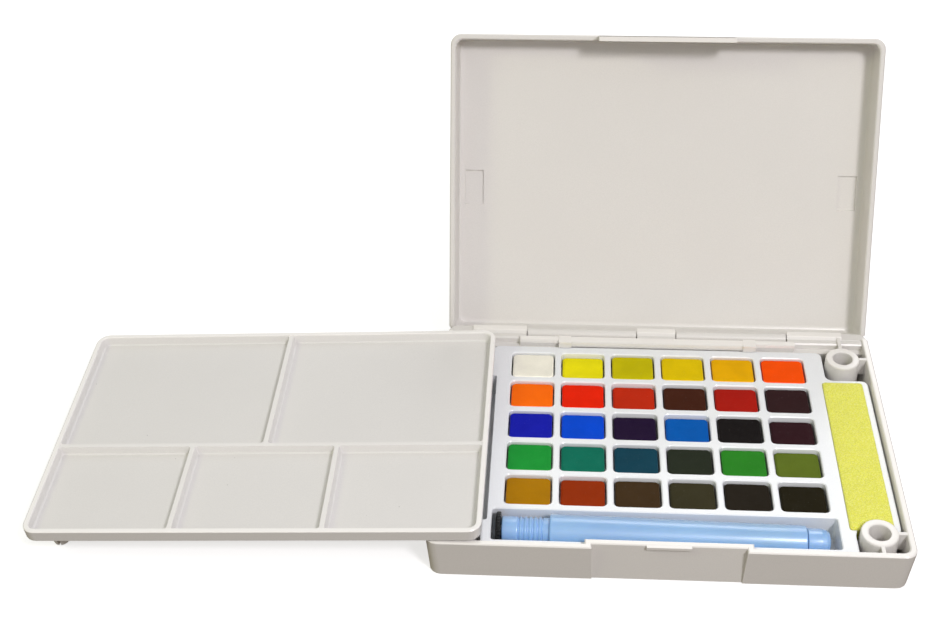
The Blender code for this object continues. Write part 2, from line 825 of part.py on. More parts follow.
def palette_ring(inset, radius, z):
    outline = rounded_rect(
        -PALETTE_W + inset, -inset, -PALETTE_D / 2 + inset, PALETTE_D / 2 - inset, radius, 5
    )
    return at_height(outline, z)


def palette_wells():
    """Bounds of the five mixing wells, with the two corners each has at the palette's rim."""
    left = -PALETTE_W + PALETTE_RIM
    right = -PALETTE_RIM
    front = -PALETTE_D / 2 + PALETTE_RIM
    rear = PALETTE_D / 2 - PALETTE_RIM
    half = DIVIDER_T / 2
    rear_edges = (left, -PALETTE_REAR_SPLIT, right)
    front_edges = (left, -PALETTE_FRONT_SPLITS[1], -PALETTE_FRONT_SPLITS[0], right)
    for edges, y0, y1 in (
        (rear_edges, PALETTE_CROSS_Y + half, rear),
        (front_edges, front, PALETTE_CROSS_Y - half),
    ):
        last = len(edges) - 2
        for i in range(last + 1):
            x0 = edges[i] + (0 if i == 0 else half)
            x1 = edges[i + 1] - (0 if i == last else half)
            yield (x0, x1, y0, y1), (y0 == front, y1 == rear), (i == 0, i == last)


def palette_well_cutter(bounds, at_ends, at_sides):
    """Cutter for a well: well rounded at the palette's own corners, tight at the dividers."""
    x0, x1, y0, y1 = bounds
    slope = 0.6 * MM
    lip = 0.2 * MM

    def ring(inset, z):
        corners = []
        for x, y, at_side, at_end in (
            (x0 + inset, y0 + inset, at_sides[0], at_ends[0]),
            (x1 - inset, y0 + inset, at_sides[1], at_ends[0]),
            (x1 - inset, y1 - inset, at_sides[1], at_ends[1]),
            (x0 + inset, y1 - inset, at_sides[0], at_ends[1]),
        ):
            radius = 2.7 * MM if at_side and at_end else 0.9 * MM
            corners.append((x, y, radius - 0.5 * inset))
        return at_height(filleted(corners, 4), z)

    return loft(
        (
            ring(slope + 0.5 * MM, PALETTE_FLOOR),
            ring(slope, PALETTE_FLOOR + 0.4 * MM),
            ring(0, PALETTE_T - lip),
            ring(-lip, PALETTE_T),
            ring(-lip, PALETTE_T + 1.0 * MM),
        )
    )


def peg_tools(x, y):
    """A round peg below the palette, and the slit that splits its end into two prongs."""
    profile = (
        (PEG_R - 0.7 * MM, -PEG_LEN),
        (PEG_R - 0.4 * MM, -PEG_LEN + 0.3 * MM),
        (PEG_R, -PEG_LEN + 2.0 * MM),
        (PEG_R, PALETTE_FLOOR / 2),
    )
    peg = turned(profile, 16, Matrix.Translation((x, y, 0)))
    slit = box(
        (x - PEG_SLIT / 2, y - 2 * PEG_R, -PEG_LEN - 1.0 * MM),
        (x + PEG_SLIT / 2, y + 2 * PEG_R, -2.6 * MM),
    )
    return peg, slit


def make_palette(material):
    soft = 0.3 * MM
    rings = (
        palette_ring(soft + 0.2 * MM, PALETTE_R - soft, 0),
        palette_ring(0.2 * MM, PALETTE_R, soft),
        palette_ring(0, PALETTE_R, PALETTE_T - soft),
        palette_ring(soft, PALETTE_R - soft, PALETTE_T),
    )
    palette = add_object("mixing_palette", loft(rings), material)
    inner = PALETTE_RIM - 0.1 * MM
    dividers_top = (
        palette_ring(inner, PALETTE_R - inner, PALETTE_T - DIVIDER_DROP),
        palette_ring(inner, PALETTE_R - inner, PALETTE_T + 1.0 * MM),
    )
    combine(palette, [loft(dividers_top)], "DIFFERENCE")
    combine(palette, [palette_well_cutter(*well) for well in palette_wells()], "DIFFERENCE")
    peg_ys = [y - PALETTE_MID_Y for y in SOCKET_YS]
    peg_xs = (-PEG_FROM_EDGE, PEG_FROM_EDGE - PALETTE_W)
    pegs = [peg_tools(x, y) for x in peg_xs for y in peg_ys]
    combine(palette, [peg for peg, _ in pegs], "UNION")
    combine(palette, [slit for _, slit in pegs], "DIFFERENCE")
    tidy_mesh(palette)
    smooth(palette)
    sag = math.radians(PALETTE_SAG_DEG)
    overlap = CASE_W / 2 + PALETTE_RIGHT_X
    right_z = RIM_Z + GAP + overlap * math.tan(sag)
    palette.location = (PALETTE_RIGHT_X, PALETTE_MID_Y, right_z)
    palette.rotation_euler = (0, -sag, 0)
    return palette


# ---------------------------------------------------------------- assembly


def main():
    clear_scene()
    shell = make_material("case_plastic", (0.70, 0.68, 0.63), 0.42)
    insert = make_material("insert_plastic", (0.66, 0.68, 0.70), 0.38)
    foam = make_material("sponge_foam", (0.79, 0.76, 0.11), 0.95)
    blue = make_material("brush_blue", (0.37, 0.55, 0.81), 0.25, 0.85)
    black = make_material("collar_black", (0.012, 0.012, 0.014), 0.35)
    ferrule = make_material("ferrule_plastic", (0.60, 0.62, 0.65), 0.35)
    hair = make_material("bristle_white", (0.80, 0.76, 0.68), 0.70)
    felt = make_material("valve_white", (0.78, 0.78, 0.76), 0.80)
    make_case(shell)
    make_lid(shell)
    make_tray(insert)
    make_cakes()
    make_sponge(foam)
    make_brush(blue, black, ferrule, hair, felt)
    make_palette(shell)


main()
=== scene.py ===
"""Watercolour pan set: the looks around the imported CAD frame."""

import math

import bmesh
import bpy
from mathutils import Matrix, Vector, noise


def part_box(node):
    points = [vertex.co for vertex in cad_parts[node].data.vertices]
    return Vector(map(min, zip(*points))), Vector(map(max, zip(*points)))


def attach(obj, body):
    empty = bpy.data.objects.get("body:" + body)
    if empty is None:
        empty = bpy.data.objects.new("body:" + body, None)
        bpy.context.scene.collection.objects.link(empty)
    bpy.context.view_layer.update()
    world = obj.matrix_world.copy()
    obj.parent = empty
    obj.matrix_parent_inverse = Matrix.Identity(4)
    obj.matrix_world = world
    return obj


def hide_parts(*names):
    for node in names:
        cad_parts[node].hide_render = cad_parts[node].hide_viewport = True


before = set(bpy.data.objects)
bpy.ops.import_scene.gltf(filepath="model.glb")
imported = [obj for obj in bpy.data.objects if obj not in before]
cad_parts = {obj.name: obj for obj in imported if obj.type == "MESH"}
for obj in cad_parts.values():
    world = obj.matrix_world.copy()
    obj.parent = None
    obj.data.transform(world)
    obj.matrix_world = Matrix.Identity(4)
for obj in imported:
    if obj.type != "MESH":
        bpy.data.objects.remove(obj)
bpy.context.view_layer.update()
scene = bpy.context.scene

MM = 0.001

WELD = 0.002 * MM  # vertices closer than this are one


# ---------------------------------------------------------------- node tools

# Bands of a noise's range, 0 to 1, that hold nearly all of it and most of it.
WIDE = (0.3, 0.7)
NARROW = (0.35, 0.65)


def mixed(tree, factor, a, b):
    """A colour mix in a node tree; factor, a and b may be outputs or plain values."""
    made = tree.nodes.new("ShaderNodeMix")
    made.data_type = "RGBA"
    for index, value in ((0, factor), (6, a), (7, b)):
        socket = made.inputs[index]
        if hasattr(value, "links"):
            tree.links.new(value, socket)
        elif index == 0:
            socket.default_value = value
        else:
            socket.default_value = (*value, 1.0)
    return made.outputs[2]


def linear(text):
    """Linear colour of an sRGB one written as rrggbb."""
    parts = (int(text[i : i + 2], 16) / 255 for i in (0, 2, 4))
    return tuple(c / 12.92 if c <= 0.04045 else ((c + 0.055) / 1.055) ** 2.4 for c in parts)


def tinted(color, factor):
    """The colour made lighter or darker by the factor."""
    return tuple(min(c * factor, 1.0) for c in color)


def veiled(color, keep, veil):
    """The colour with a part of it kept and a grey veil added."""
    return tuple(keep * c + veil for c in color)


class Graph:
    """A material's node tree, with short ways to add to it."""

    def __init__(self, name):
        self.material = bpy.data.materials.new(name)
        self.material.use_nodes = True
        self.tree = self.material.node_tree
        self.shader = self.tree.nodes["Principled BSDF"]
        self.place = self.add("ShaderNodeTexCoord").outputs["Object"]

    def add(self, kind, links=None, values=None, **settings):
        """A node of that kind, with its inputs linked or given values, and its settings."""
        made = self.tree.nodes.new(kind)
        for key, value in settings.items():
            setattr(made, key, value)
        for key, value in (values or {}).items():
            made.inputs[key].default_value = value
        for key, output in (links or {}).items():
            self.tree.links.new(output, made.inputs[key])
        return made

    def stretched(self, scale, shift=(0, 0, 0)):
        """The place on the object, scaled and shifted."""
        links = {"Vector": self.place}
        values = {"Scale": scale, "Location": shift}
        return self.add("ShaderNodeMapping", links, values).outputs["Vector"]

    def noise(self, size, detail=2.0, rough=0.5, where=None):
        """Noise whose features are about size metres across."""
        links = {"Vector": where or self.place}
        values = {"Scale": 1 / size, "Detail": detail, "Roughness": rough}
        return self.add("ShaderNodeTexNoise", links, values).outputs["Fac"]

    def cells(self, size, output="Distance", **settings):
        """Scattered cells about size metres across."""
        links, values = {"Vector": self.place}, {"Scale": 1 / size}
        return self.add("ShaderNodeTexVoronoi", links, values, **settings).outputs[output]

    def span(self, source, low, high, to_low=0.0, to_high=1.0):
        """The source from low to high, spread over to_low to to_high; any may be an output."""
        made = self.add("ShaderNodeMapRange", {"Value": source})
        for key, value in (
            ("From Min", low),
            ("From Max", high),
            ("To Min", to_low),
            ("To Max", to_high),
        ):
            if isinstance(value, (int, float)):
                made.inputs[key].default_value = value
            else:
                self.tree.links.new(value, made.inputs[key])
        return made.outputs["Result"]

    def math(self, kind, a, b):
        """The named operation on a and b, which may be outputs or numbers."""
        made = self.add("ShaderNodeMath", operation=kind)
        for socket, value in zip(made.inputs, (a, b)):
            if isinstance(value, (int, float)):
                socket.default_value = value
            else:
                self.tree.links.new(value, socket)
        return made.outputs[0]

    def mix(self, factor, a, b):
        """A colour mix in this tree."""
        return mixed(self.tree, factor, a, b)

    def clouded(self, source, band, color, tints):
        """The colour, going from one tint to the other as the source crosses the band."""
        dark, light = tints
        return self.mix(self.span(source, *band), tinted(color, dark), tinted(color, light))

    def bump(self, height, distance, under=None):
        """Relief up to distance metres tall, over the relief under."""
        links = {"Height": height}
        if under is not None:
            links["Normal"] = under
        values = {"Strength": 1.0, "Distance": distance}
        return self.add("ShaderNodeBump", links, values).outputs["Normal"]

    def finish(self, color, rough, normal, **plain):
        """Wires up the shader; plain gives its other inputs constant values."""
        self.tree.links.new(color, self.shader.inputs["Base Color"])
        self.tree.links.new(rough, self.shader.inputs["Roughness"])
        self.tree.links.new(normal, self.shader.inputs["Normal"])
        for key, value in plain.items():
            self.shader.inputs[key.replace("_", " ")].default_value = value
        return self.material


# ---------------------------------------------------------------- materials

CLOUD_SIZE = 26 * MM
FLECK_SIZE = 0.42 * MM
SATIN_GRAIN = 0.5 * MM
SATIN_RELIEF = 0.003 * MM
SPECK_PITCH = 2.6 * MM
SPECK_RADII = (0.04, 0.08)  # as parts of the pitch, from core to edge
SPECK_CHOICE = (0.97, 0.975)  # about one cell in forty has a speck
SPECK_TINT = 0.3
PLASTIC_TINTS = (0.99, 1.01)
FLECK_TINT = 0.955
SATIN_SPREAD = (-0.02, 0.03)  # how far the roughness strays
CREST_BAND = (0.55 * MM, 0.25 * MM)  # below the rim: where the painted highlight and the smoother finish start and are complete
CREST_POLISH = 0.1  # how much less rough the rubbed rim is


def moulded_plastic(name, color, rough, crest=None, painted_rim_highlight=1.0, specks=0.0, gloss=0.5):
    """Injection-moulded plastic: faint clouding and a fine satin grain.

    crest is a direction and the height along it of the part's rim, which hands
    and the closing lid have rubbed smooth; the rim is also painted paler by the
    factor painted_rim_highlight, a painted highlight. specks is how dark the rare
    specks of old paint are, and gloss the specular level.
    """
    g = Graph(name)
    cloud = g.noise(CLOUD_SIZE)
    fleck = g.noise(FLECK_SIZE, rough=0.6)
    shade = g.clouded(cloud, NARROW, color, PLASTIC_TINTS)
    shade = g.mix(g.span(fleck, *WIDE), shade, tinted(color, FLECK_TINT))
    if specks:
        spot = g.cells(SPECK_PITCH, "Distance")
        which = g.cells(SPECK_PITCH, "Color")
        lottery = g.add("ShaderNodeSeparateColor", {"Color": which}).outputs[0]
        chosen = g.span(lottery, *SPECK_CHOICE)
        dot = g.math("MULTIPLY", g.span(spot, *SPECK_RADII, 1.0, 0.0), chosen)
        shade = g.mix(g.math("MULTIPLY", dot, specks), shade, tinted(color, SPECK_TINT))
    shine = g.span(fleck, *WIDE, *(rough + stray for stray in SATIN_SPREAD))
    if crest:
        direction, height = crest
        along = g.add("ShaderNodeVectorMath", {0: g.place}, {1: direction}, operation="DOT_PRODUCT")
        start, full = (height - below for below in CREST_BAND)
        top = g.span(along.outputs["Value"], start, full)
        # painted highlight: the rim painted paler by the factor painted_rim_highlight
        shade = g.mix(top, shade, tinted(color, painted_rim_highlight))
        shine = g.span(top, 0.0, 1.0, shine, rough - CREST_POLISH)
    relief = g.bump(g.noise(SATIN_GRAIN), SATIN_RELIEF)
    return g.finish(shade, shine, relief, Specular_IOR_Level=gloss)


CAKE_SEED_SHIFT = (0.37, 0.11)  # moves each cake's noise, so that no two look the same
CAKE_CLOUD = 7 * MM
CAKE_GRAIN = 0.32 * MM
CAKE_DUST = 0.5 * MM
CAKE_SKIN = 3 * MM
CAKE_DENT = 4 * MM
CAKE_TINTS = (0.93, 1.06)
GRAIN_BAND = (0.45, 0.75)
GRAIN_SHARE = 0.28
GRAIN_TINT = 0.75
GRAIN_RELIEF = 0.02 * MM
DENT_RELIEF = 0.1 * MM
DUST_BAND = (0.72, 0.8)
DUST_SHARE = 0.4
DUST_VEIL = (0.85, 0.12)
SHOULDER_RISE = (0.75 * MM, 0.5 * MM)  # below the top: where the shoulder's painted highlight and gloss start and are full
SHOULDER_FADE = (0.32 * MM, 0.18 * MM)  # below the top: where it starts to fade and is gone
# the shoulder painted paler: a painted highlight
SHOULDER_HIGHLIGHT_VEIL = (1.3, 0.022)
SHOULDER_ROUGH = 0.2
SKIN_ROUGH = (0.42, 0.58)
CAKE_GLOSS = 0.05


def paint_cake(name, color, seed, top):
    """A pressed cake of dry paint: matt and faintly grainy, its shoulder below top glossier, with a
    painted highlight.
    """
    g = Graph(name)
    where = g.stretched((1, 1, 1), (*(part * seed for part in CAKE_SEED_SHIFT), 0.0))
    cloud = g.noise(CAKE_CLOUD, detail=3.0, rough=0.55, where=where)
    grains = g.noise(CAKE_GRAIN, rough=0.6, where=where)
    powder = g.noise(CAKE_DUST, detail=1.0, where=where)
    smears = g.noise(CAKE_SKIN, detail=3.0, rough=0.6, where=where)
    shade = g.clouded(cloud, WIDE, color, CAKE_TINTS)
    grainy = g.span(grains, *GRAIN_BAND, 0.0, GRAIN_SHARE)
    shade = g.mix(grainy, shade, tinted(color, GRAIN_TINT))
    dusty = g.span(powder, *DUST_BAND, 0.0, DUST_SHARE)
    shade = g.mix(dusty, shade, veiled(color, *DUST_VEIL))
    height = g.add("ShaderNodeSeparateXYZ", {"Vector": g.place}).outputs["Z"]
    rising = g.span(height, *(top - below for below in SHOULDER_RISE))
    fading = g.span(height, *(top - below for below in SHOULDER_FADE), 1.0, 0.0)
    edge = g.math("MULTIPLY", rising, fading)
    # painted highlight: the shoulder band painted paler
    shade = g.mix(edge, shade, veiled(color, *SHOULDER_HIGHLIGHT_VEIL))
    skin = g.span(smears, *WIDE, *SKIN_ROUGH)
    shine = g.span(edge, 0.0, 1.0, skin, SHOULDER_ROUGH)
    dents = g.bump(g.noise(CAKE_DENT, where=where), DENT_RELIEF)
    relief = g.bump(grains, GRAIN_RELIEF, dents)
    return g.finish(shade, shine, relief, Specular_IOR_Level=CAKE_GLOSS)


FOAM_PORE = 0.55 * MM
FOAM_FIBRE = 0.3 * MM
FOAM_GLINT = 0.45 * MM
FOAM_PATCH = 5 * MM
FOAM_RELIEF = 0.12 * MM
FOAM_TINTS = (0.97, 1.03)
FIBRE_BAND = (0.42, 0.62)
FIBRE_TINT = 0.72
FIBRE_HEIGHT = 0.6  # against a pore wall's
GLINT_BAND = (0.54, 0.62)
GLINT_SHARE = 0.9
GLINT_VEIL = (0.75, 0.22)
PORE_BAND = (0.08, 0.25)
PORE_SHARE = 0.3
PORE_SHADE_TINT = 0.75
PORE_WALL = (0.05, 0.45)
FOAM_BAND = (0.2, 0.8)
FOAM_ROUGH = (0.85, 1.0)


def foam(name, color):
    """Open-cell foam: pale cell edges with a painted highlight, over slightly deeper pores with
    painted shade.
    """
    g = Graph(name)
    pores = g.cells(FOAM_PORE, feature="SMOOTH_F1")
    fine = g.noise(FOAM_FIBRE, detail=3.0, rough=0.7)
    sparks = g.noise(FOAM_GLINT, rough=0.6)
    patch = g.noise(FOAM_PATCH)
    shade = g.clouded(patch, WIDE, color, FOAM_TINTS)
    shade = g.mix(g.span(fine, *FIBRE_BAND), shade, tinted(color, FIBRE_TINT))
    # painted highlight: pale glints on the cell edges
    glint = g.span(sparks, *GLINT_BAND, 0.0, GLINT_SHARE)
    shade = g.mix(glint, shade, veiled(color, *GLINT_VEIL))
    # painted shade: the pores painted darker
    pore_shade = g.span(pores, *PORE_BAND, PORE_SHARE, 0.0)
    shade = g.mix(pore_shade, shade, tinted(color, PORE_SHADE_TINT))
    height = g.math("ADD", g.span(pores, *PORE_WALL), g.math("MULTIPLY", fine, FIBRE_HEIGHT))
    relief = g.bump(height, FOAM_RELIEF)
    rough = g.span(fine, *FOAM_BAND, *FOAM_ROUGH)
    return g.finish(
        shade,
        rough,
        relief,
        Specular_IOR_Level=0.2,
        Sheen_Weight=0.2,
        Sheen_Roughness=0.6,
        Subsurface_Weight=0.2,
        Subsurface_Radius=(2 * MM, 1.6 * MM, 0.5 * MM),
        Subsurface_Scale=1.0,
    )


DRAWN_LINE = 0.5 * MM
DRAWN_STRETCH = (0.03, 1, 1)
DRAWN_RELIEF = 0.006 * MM
CLEAR_CLOUD = 14 * MM
CLEAR_DENT = 3 * MM
CLEAR_TINTS = (0.95, 1.05)
CLEAR_SPREAD = 0.1  # how much rougher the drawn lines are
DRAWN_BAND = (0.4, 0.7)
DRAWN_SHARE = 0.3
DRAWN_TINT = 0.9


def clear_plastic(name, color, rough):
    """Translucent tinted plastic, with the fine drawn lines of a turned or extruded part."""
    g = Graph(name)
    where = g.stretched(DRAWN_STRETCH)
    drawn = g.noise(DRAWN_LINE, detail=3.0, rough=0.6, where=where)
    cloud = g.noise(CLEAR_CLOUD)
    shade = g.clouded(cloud, WIDE, color, CLEAR_TINTS)
    lines = g.span(drawn, *DRAWN_BAND, 0.0, DRAWN_SHARE)
    shade = g.mix(lines, shade, tinted(color, DRAWN_TINT))
    shine = g.span(drawn, *WIDE, rough, rough + CLEAR_SPREAD)
    relief = g.bump(g.math("ADD", drawn, g.noise(CLEAR_DENT)), DRAWN_RELIEF)
    return g.finish(
        shade,
        shine,
        relief,
        Specular_IOR_Level=0.85,
        Subsurface_Weight=0.3,
        Subsurface_Radius=(1.2 * MM, 1.8 * MM, 2.6 * MM),
        Subsurface_Scale=1.0,
        Coat_Weight=0.9,
        Coat_Roughness=0.22,
    )


BLACK_DUST = 0.4 * MM
BLACK_SMEAR = 1.5 * MM
BLACK_DUST_BAND = (0.6, 0.75)
BLACK_DUST_SHARE = 0.3
BLACK_DUST_TINT = 2.5
BLACK_ROUGH = (0.16, 0.3)
BLACK_RELIEF = 0.01 * MM


def black_plastic(name, color):
    """Glossy black plastic, with a little dust and the smears of handling."""
    g = Graph(name)
    dust = g.noise(BLACK_DUST, rough=0.6)
    dusty = g.span(dust, *BLACK_DUST_BAND, 0.0, BLACK_DUST_SHARE)
    shade = g.mix(dusty, color, tinted(color, BLACK_DUST_TINT))
    rough = g.span(g.noise(BLACK_SMEAR, detail=3.0), *WIDE, *BLACK_ROUGH)
    relief = g.bump(dust, BLACK_RELIEF)
    return g.finish(shade, rough, relief, Specular_IOR_Level=0.35)


STRAND_WIDTH = 0.12 * MM
STRAND_STRETCH = (0.02, 1, 1)
STRAND_TINTS = (0.7, 1.05)
STRAND_ROUGH = (0.35, 0.5)
STRAND_RELIEF = 0.08 * MM


def hair(name, color):
    """A bundle of straight filaments that run along the brush."""
    g = Graph(name)
    strand = g.noise(STRAND_WIDTH, rough=0.6, where=g.stretched(STRAND_STRETCH))
    shade = g.clouded(strand, NARROW, color, STRAND_TINTS)
    rough = g.span(strand, *WIDE, *STRAND_ROUGH)
    relief = g.bump(strand, STRAND_RELIEF)
    return g.finish(shade, rough, relief, Specular_IOR_Level=0.5)


# The thirty cakes row by row from the rear left, with each one's colour in sRGB.
CAKE_COLORS = (
    ("white", "f0ecde"),
    ("lemon_yellow", "e8dc10"),
    ("olive_yellow", "c3b704"),
    ("mid_yellow", "ddbe00"),
    ("deep_yellow", "e6ab00"),
    ("orange", "fa5000"),
    ("light_orange", "ff6c08"),
    ("vermilion", "e82200"),
    ("brick_red", "be2a0c"),
    ("red_brown", "421e10"),
    ("crimson", "a8180c"),
    ("plum", "301a1c"),
    ("ultramarine", "141aa8"),
    ("cobalt_blue", "0048d0"),
    ("violet", "200e30"),
    ("cerulean_blue", "0058ae"),
    ("blue_black", "161212"),
    ("purple_brown", "30151b"),
    ("light_green", "1c9336"),
    ("viridian", "0c6d57"),
    ("blue_green", "103f50"),
    ("dark_green", "262c20"),
    ("mid_green", "2a8222"),
    ("sap_green", "5c6d20"),
    ("ochre", "a97500"),
    ("burnt_sienna", "932f02"),
    ("umber", "402e18"),
    ("sepia", "37331f"),
    ("grey_black", "231d14"),
    ("ink_black", "1f1a08"),
)


def crest_of(node, direction):
    """The direction with the greatest height that the node reaches along it."""
    direction = Vector(direction).normalized()
    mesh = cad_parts[node].data
    return tuple(direction), max(direction.dot(v.co) for v in mesh.vertices)


def turned_down(axis, degrees):
    """Straight up, turned about the named axis."""
    return Matrix.Rotation(math.radians(degrees), 3, axis) @ Vector((0, 0, 1))


SATIN = (0.74, 0.715, 0.685)
SATIN_ROUGH = 0.3
LID_LEAN = 65.5  # degrees: the open lid's mouth faces this far from straight up
PALETTE_LEAN = -2.65  # degrees: the palette slopes down to the left

case_crest = crest_of("base_case", (0, 0, 1))
lid_crest = crest_of("lid", turned_down("X", LID_LEAN))
palette_crest = crest_of("mixing_palette", turned_down("Y", PALETTE_LEAN))
# painted_rim_highlight paints each rim paler: a painted highlight
case_plastic = moulded_plastic("satin_white", SATIN, SATIN_ROUGH, case_crest, painted_rim_highlight=1.16)
lid_plastic = moulded_plastic("lid_white", SATIN, SATIN_ROUGH, lid_crest, painted_rim_highlight=1.12)
insert_plastic = moulded_plastic("cool_white", (0.84, 0.855, 0.875), rough=0.25, gloss=0.7)
palette_plastic = moulded_plastic(
    "palette_white", (0.74, 0.72, 0.70), SATIN_ROUGH, palette_crest, painted_rim_highlight=1.22, specks=0.7
)
sponge_foam = foam("yellow_foam", (0.88, 0.87, 0.10))
brush_blue = clear_plastic("water_blue", (0.28, 0.49, 0.82), rough=0.3)
collar_black = black_plastic("gloss_black", (0.006, 0.006, 0.007))
ferrule_plastic = clear_plastic("smoke_white", (0.72, 0.75, 0.78), rough=0.3)
bristle_white = hair("nylon_hair", (0.80, 0.78, 0.72))
valve_white = foam("valve_felt", (0.80, 0.79, 0.76))


# ---------------------------------------------------------------- mesh tools

EDGE_SEGMENTS = 3
EDGE_ANGLE = math.radians(30)  # sharper edges than this are rounded off
FLAT_ANGLE = math.radians(0.4)  # facets that turn less than this are one face
FACE_WEIGHT = 100
ARC_STEPS = 4
LEAST_TURN = math.radians(4)  # a corner that turns less stays as it is
CORNER_SHARE = 0.45  # a corner's arc takes no more than this part of either side
TURNED_SIDES = 96
TURNED_SHARP = 40  # degrees


def piece(name, mesh, body, material, node):
    """A visible piece that rides a body and stands for the named node."""
    obj = bpy.data.objects.new(name, mesh)
    scene.collection.objects.link(obj)
    mesh.materials.clear()
    mesh.materials.append(material)
    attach(obj, body)
    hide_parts(node)
    return obj


def mesh_of(name, verts, faces, smooth_angle=None):
    """A smooth-shaded mesh, with sharp edges only beyond smooth_angle degrees."""
    mesh = bpy.data.meshes.new(name)
    mesh.from_pydata([tuple(v) for v in verts], [], faces)
    mesh.validate()
    bm = bmesh.new()
    bm.from_mesh(mesh)
    bmesh.ops.recalc_face_normals(bm, faces=bm.faces)
    bm.to_mesh(mesh)
    bm.free()
    mesh.shade_smooth()
    if smooth_angle is not None:
        mesh.set_sharp_from_angle(angle=math.radians(smooth_angle))
    return mesh


def soft_edged(node, title, body, material, width):
    """A moulded part as the frame has it, with its hard edges rounded off to that width."""
    bm = bmesh.new()
    bm.from_mesh(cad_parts[node].data)
    bmesh.ops.remove_doubles(bm, verts=bm.verts, dist=WELD)
    bmesh.ops.dissolve_limit(bm, angle_limit=FLAT_ANGLE, verts=bm.verts, edges=bm.edges)
    mesh = bpy.data.meshes.new(title)
    bm.to_mesh(mesh)
    bm.free()
    mesh.shade_smooth()
    obj = piece(title, mesh, body, material, node)
    bevel = obj.modifiers.new("edges", "BEVEL")
    bevel.width = width
    bevel.segments = EDGE_SEGMENTS
    bevel.limit_method = "ANGLE"
    bevel.angle_limit = EDGE_ANGLE
    bevel.use_clamp_overlap = True
    bevel.miter_outer = "MITER_ARC"
    weighted = obj.modifiers.new("shading", "WEIGHTED_NORMAL")
    weighted.keep_sharp = False
    weighted.weight = FACE_WEIGHT


def rounded(points, radius, closed=True):
    """The outline with each corner turned into an arc of about that radius."""
    points = [Vector(p) for p in points]
    made = []
    count = len(points)
    for i, here in enumerate(points):
        if not closed and i in (0, count - 1):
            made.append(here)
            continue
        back = points[i - 1] - here
        ahead = points[(i + 1) % count] - here
        turn = math.pi - back.angle(ahead)
        if turn < LEAST_TURN:
            made.append(here)
            continue
        most = CORNER_SHARE * min(back.length, ahead.length)
        reach = min(radius * math.tan(turn / 2), most)
        a = here + back.normalized() * reach
        b = here + ahead.normalized() * reach
        for step in range(ARC_STEPS + 1):
            t = step / ARC_STEPS
            made.append(a * (1 - t) ** 2 + here * 2 * t * (1 - t) + b * t**2)
    return made


def lathe(name, profile, matrix, closed, sides=TURNED_SIDES, wave=None):
    """A body turned about local X from (radius, x) points; wave changes a radius by its angle."""
    verts, faces = [], []
    count = len(profile)
    for radius, along in profile:
        for side in range(sides):
            angle = 2 * math.pi * side / sides
            turned = radius if wave is None else wave(radius, angle)
            local = Vector((along, turned * math.sin(angle), turned * math.cos(angle)))
            verts.append(matrix @ (local * MM))
    rows = count if closed else count - 1
    for row in range(rows):
        near, far = row * sides, (row + 1) % count * sides
        for side in range(sides):
            after = (side + 1) % sides
            faces.append((near + side, near + after, far + after, far + side))
    if not closed:
        faces.append(tuple(range(sides))[::-1])
        faces.append(tuple((count - 1) * sides + side for side in range(sides)))
    return mesh_of(name, verts, faces, TURNED_SHARP)


# ---------------------------------------------------------------- case, lid, tray, palette

# The last of each row is the width of its rounded edges.
for node, title, body, slot, material, width in (
    ("base_case", "case_shell", "case", "case_plastic", case_plastic, 0.2 * MM),
    ("lid", "lid_shell", "lid", "case_plastic", lid_plastic, 0.12 * MM),
    ("insert_tray", "tray_shell", "case", "insert_plastic", insert_plastic, 0.35 * MM),
    ("mixing_palette", "palette_shell", "palette", "palette_plastic", palette_plastic, 0.25 * MM),
):
    soft_edged(node, title, body, material, width)


# ---------------------------------------------------------------- cakes of paint

CAKE_COLUMNS = 6
CAKE_SHRINK = 0.2 * MM
CAKE_CORNER = 1.5 * MM
CAKE_LEAST_CORNER = 0.3 * MM
CAKE_CORNER_FALL = 0.55  # how fast the corners tighten as the rings shrink
CAKE_SHOULDER = 0.7 * MM
CAKE_FOOT = ((0.25 * MM, 0.0), (0.08 * MM, 0.3))  # inset, and height as a part of the whole
CAKE_TOP = (1.2 * MM, 2.0 * MM, 3.0 * MM, 4.3 * MM, 5.6 * MM)
CORNER_STEP = 15  # degrees
CORNER_STEPS = 90 // CORNER_STEP
SIDE_PIECES = 12
HOLLOW_DEPTH = 0.07 * MM
HOLLOW_SIZE = 3.2 * MM
HOLLOW_LEVEL = 0.9  # keeps the hollows below the full height
HOLLOW_STEP = Vector((0.05, -0.03, 0.0))  # from one cake's hollows to the next one's
WARP = 0.006
WARP_SIZE = 2.5 * MM
WARP_LEVEL = 0.6  # keeps the sides inside the full width
WARP_STEP = 0.7  # from one cake's warp to the next one's


